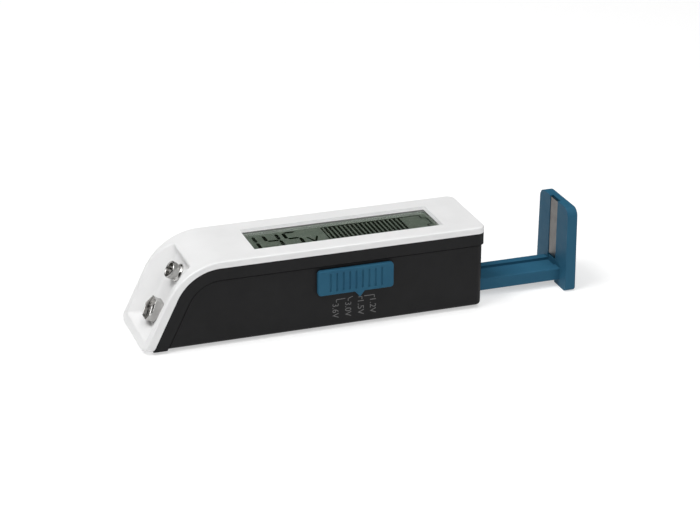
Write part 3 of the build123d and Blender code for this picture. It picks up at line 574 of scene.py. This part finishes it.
POINT_SPOT = np.array([-12.4, -4.5]) * MM  # middle of the decimal point, a square
POINT_WIDTH = 0.8 * MM
point_ends = POINT_SPOT + np.array([[[-POINT_WIDTH / 2, 0], [POINT_WIDTH / 2, 0]]])
add_segments("display_point", strokes(point_ends, POINT_WIDTH))

VOLT_TIPS = np.array([[0.8, -0.85], [2.3, -4.65], [3.85, -0.85]]) * MM  # left, foot and right of the V
VOLT_STROKE = 0.6 * MM
add_segments("display_volt_sign", strokes(np.stack([VOLT_TIPS[:2], VOLT_TIPS[:0:-1]]), VOLT_STROKE))

BARS = 18
BAR_WIDTH = 0.78 * MM
BAR_X = np.linspace(8.0, 30.75, BARS) * MM
BAR_Y = np.array([-5.1, 4.5]) * MM
bar_ends = np.stack([np.stack([BAR_X, np.full(BARS, y)], axis=1) for y in BAR_Y], axis=1)
add_segments("display_bars", strokes(bar_ends, BAR_WIDTH))

# Outline of a cell round the bars, with its raised end on the right.  Its corners are pairs of places in
# the two lists, taken in turn round the outline.
OUTLINE_X = np.array([6.8, 37.4, 38.85]) * MM
OUTLINE_Y = np.array([-5.35, -2.75, 2.15, 4.6]) * MM
OUTLINE_WIDTH = 0.4 * MM
cell_corners = np.array([
    (0, 0), (1, 0), (1, 1), (2, 1), (2, 2), (1, 2), (1, 3), (0, 3), (0, 0),
])
cell_line = np.stack([OUTLINE_X[cell_corners[:, 0]], OUTLINE_Y[cell_corners[:, 1]]], axis=1)
cell_ends = np.stack([cell_line[:-1], cell_line[1:]], axis=1)
add_segments("display_cell_outline", strokes(cell_ends, OUTLINE_WIDTH))

# ================================================================ printed scale under the selector
RIM_STEP = 0.55 * MM  # from the housing's raised rim back to its wall
WALL_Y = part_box("bottom_housing")[0].y + RIM_STEP
INK = 0.012 * MM  # thickness of the print
SEAM = 1e-5  # letters' points closer than this are one point, in the font's own units
LABELS = ["3.6V", "3.0V", "1.5V", "1.2V"]
LABEL_X = np.array([4.42, 8.28, 12.12, 15.86]) * MM  # foot of the letters
LABEL_TOP = 7.9 * MM  # height over the table at which the labels begin
LABEL_LENGTH = 4.5 * MM
LETTER_HEIGHT = 1.88 * MM
# Bent line from each of the selector's positions to its label: start, elbow and end, as X and height.
LEADERS = np.array([
    [(8.3, 9.2), (5.6, 9.15), (5.6, 8.25)],
    [(10.6, 9.55), (9.2, 9.0), (9.2, 8.25)],
    [(12.3, 9.05), (13.4, 9.05), (13.4, 8.15)],
    [(14.1, 9.15), (17.2, 9.15), (17.2, 8.25)],
]) * MM
LEADER_WIDTH = 0.24 * MM


def add_label(text, foot):
    """Pad-printed label that reads downwards, with its letters' feet at X = foot.

    The letters are made solid in the font's own units, and their box is then stretched to the label's
    length, the letters' height and the ink's thickness on the wall.
    """
    curve = bpy.data.curves.new(text, "FONT")
    curve.body = text
    curve.extrude = 0.5
    letters = bpy.data.objects.new(text, curve)
    bpy.context.scene.collection.objects.link(letters)
    bpy.context.view_layer.update()
    mesh = bpy.data.meshes.new_from_object(letters)
    bpy.data.objects.remove(letters)
    seams = bmesh.new()
    seams.from_mesh(mesh)
    bmesh.ops.remove_doubles(seams, verts=seams.verts, dist=SEAM)
    seams.to_mesh(mesh)
    seams.free()
    flat = np.zeros(3 * len(mesh.vertices))
    mesh.vertices.foreach_get("co", flat)
    flat = flat.reshape(-1, 3)
    low, high = flat.min(0), flat.max(0)
    along, up, out = ((flat - low) / (high - low)).T
    x, y, z = foot + up * LETTER_HEIGHT, WALL_Y - out * INK, LABEL_TOP - along * LABEL_LENGTH
    mesh.vertices.foreach_set("co", np.stack([x, y, z], axis=1).ravel())
    mesh.materials.clear()
    mesh.materials.append(grey_ink)
    mesh.update()
    piece = bpy.data.objects.new("label_" + text.replace(".", "_"), mesh)
    bpy.context.scene.collection.objects.link(piece)
    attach(piece, "casing")


for label, label_foot in zip(LABELS, LABEL_X):
    add_label(label, label_foot)

leader_ends = np.concatenate([LEADERS[:, :2], LEADERS[:, 1:]])
leader_points, leader_faces = prisms(strokes(leader_ends, LEADER_WIDTH), 0, INK)
# The prisms are drawn flat, then stood up against the wall.
x, z, out = leader_points.T
leader_points = np.stack([x, WALL_Y - out, z], axis=1)
add_piece("label_leaders", leader_points, leader_faces, "casing", grey_ink)

# ================================================================ floor, lights, camera
FLOOR_SIZE = 8.0
half = FLOOR_SIZE / 2
floor_corners = [(-half, -half, 0), (half, -half, 0), (half, half, 0), (-half, half, 0)]
floor_mesh = bpy.data.meshes.new("floor")
floor_mesh.from_pydata(floor_corners, [], [(0, 1, 2, 3)])
floor_paint, *_ = start_material(
    "matt white backdrop paper", "#C4C4C4", 0.9, Specular_IOR_Level=0.1,
    Emission_Color=(1.0, 1.0, 1.0, 1.0), Emission_Strength=0.5,
)
floor_mesh.materials.append(floor_paint)
floor = bpy.data.objects.new("floor", floor_mesh)
bpy.context.scene.collection.objects.link(floor)


def add_softbox(name, place, target, size, power):
    """Square area light at a place, turned towards a target."""
    lamp = bpy.data.lights.new(name, "AREA")
    lamp.size = size
    lamp.energy = power
    softbox = bpy.data.objects.new(name, lamp)
    softbox.location = place
    softbox.rotation_euler = (Vector(target) - Vector(place)).to_track_quat("-Z", "Y").to_euler()
    bpy.context.scene.collection.objects.link(softbox)


add_softbox("overhead softbox", (0.0, 0.1, 1.1), (0.0, 0.0, 0.0), 1.2, 6.7)
add_softbox("left softbox", (-0.55, -0.1, 1.05), (0.0, 0.0, 0.02), 0.5, 7.8)
add_softbox("front softbox", (0.1, -0.8, 0.9), (0.0, 0.0, 0.02), 0.8, 5.7)

# A white room, brightest overhead and in front, whose back darkens towards the floor, so that the pane
# and the metal mirror some dark.  Its strength rises from 0.25 to 0.95 as the direction's product with
# the bright side goes from 0.06 to 1.3.
BRIGHT_SIDE = (-0.1, -0.3, 0.95)
world = bpy.data.worlds.new("studio")
world.use_nodes = True
room = world.node_tree
direction = add_node(room, "ShaderNodeTexCoord").outputs["Generated"]
towards = add_node(room, "ShaderNodeVectorMath", {"operation": "DOT_PRODUCT", 1: BRIGHT_SIDE})
room.links.new(direction, towards.inputs[0])
glow = between(room, towards.outputs["Value"], 0.06, 1.3, 0.25, 0.95)
room.links.new(glow, room.nodes["Background"].inputs["Strength"])
bpy.context.scene.world = world
bpy.context.scene.view_settings.view_transform = "Standard"

YAW = 0.33871  # radians that the camera turns to the right of +Y
PITCH = 0.401867  # radians that it looks down from level
ROLL = math.radians(0.16)
camera_data = bpy.data.cameras.new("camera")
camera_data.sensor_width = 36.0
camera_data.lens = 106.85
camera_data.clip_start = 0.01
camera = bpy.data.objects.new("camera", camera_data)
turn = (
    Matrix.Rotation(-YAW, 3, "Z")
    @ Matrix.Rotation(math.pi / 2 - PITCH, 3, "X")
    @ Matrix.Rotation(ROLL, 3, "Z")
)
camera.location = (-0.1719, -0.5285, 0.2525)
camera.rotation_euler = turn.to_euler()
bpy.context.scene.collection.objects.link(camera)
bpy.context.scene.camera = camera
